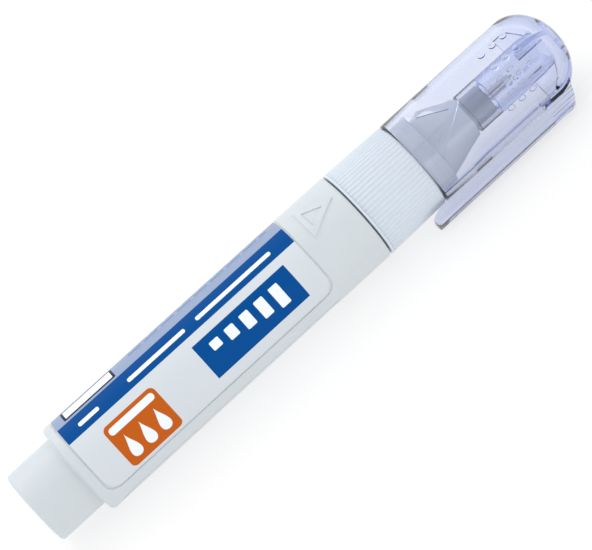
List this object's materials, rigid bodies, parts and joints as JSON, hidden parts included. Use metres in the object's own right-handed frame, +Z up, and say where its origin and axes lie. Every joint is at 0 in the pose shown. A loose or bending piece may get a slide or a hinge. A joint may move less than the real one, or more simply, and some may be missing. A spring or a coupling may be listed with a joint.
{
  "type": "correction fluid bottle",
  "caption": "Pen-shaped squeeze bottle for correction fluid, with a sprung needle tip, a loose mixing ball and a clear push-on cap with a pocket clip.",
  "frame": {"origin": "centre of the flat tail face, on the pen's axis", "axes": "+X along the pen from the tail to the cap's domed end, +Z up as the pen lies on a table, with the clip down on the -Y side"},
  "size_m": [0.0997, 0.0154, 0.015],
  "materials": {
    "bottle_plastic": "satin white moulded plastic",
    "nozzle_plastic": "satin white moulded plastic",
    "label_film": "thin printed film, white with blue and orange fields",
    "steel": "bright stainless steel",
    "natural_plastic": "uncoloured plastic",
    "seal_foam": "soft foamed plastic",
    "clear_blue_plastic": "polished transparent plastic with a blue tint"
  },
  "bodies": {
    "barrel": {"bottle": "bottle_plastic", "label": "label_film", "nozzle": "nozzle_plastic", "neck_gasket": "seal_foam", "steel_tip": "steel", "needle_spring": "steel", "spring_plug": "natural_plastic"},
    "cap": {"cap": "clear_blue_plastic"},
    "needle": {"valve_needle": "steel", "needle_holder": "natural_plastic"},
    "ball": {"mixing_ball": "steel"}
  },
  "joints": [
    {"name": "cap_pull", "type": "slide", "parent": "barrel", "child": "cap", "axis": [1, 0, 0], "range_m": [0, 0.03]},
    {"name": "needle_press", "type": "slide", "parent": "barrel", "child": "needle", "axis": [-1, 0, 0], "range_m": [0, 0.0004], "stiffness_N_per_m": 300, "deforming": ["needle_spring"]},
    {"name": "ball_roll", "type": "slide", "parent": "barrel", "child": "ball", "axis": [1, 0, 0], "range_m": [-0.005, 0.0407]}
  ]
}
